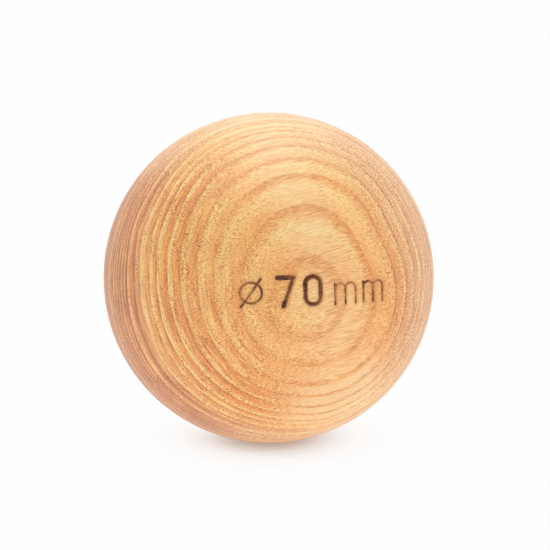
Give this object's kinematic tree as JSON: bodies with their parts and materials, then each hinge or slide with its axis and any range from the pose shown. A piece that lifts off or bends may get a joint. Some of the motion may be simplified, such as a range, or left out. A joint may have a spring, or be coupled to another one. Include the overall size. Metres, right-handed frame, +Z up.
{
  "type": "wooden ball",
  "caption": "Solid turned wooden ball, sanded smooth, with its diameter burnt shallowly into one side; rolled by hand or underfoot.",
  "frame": {"origin": "centre of the ball", "axes": "+Z up as the ball lies in the picture; -Y is the side with the burnt mark, which looks up from level by 7.5 degrees; the mark reads along +X"},
  "size_m": [0.07, 0.07, 0.07],
  "materials": {
    "oiled_ash": "sanded fine and lightly oiled, with a dull sheen; the burnt mark is dark brown and matt"
  },
  "bodies": {
    "root": {"ball": "oiled_ash"}
  },
  "joints": []
}
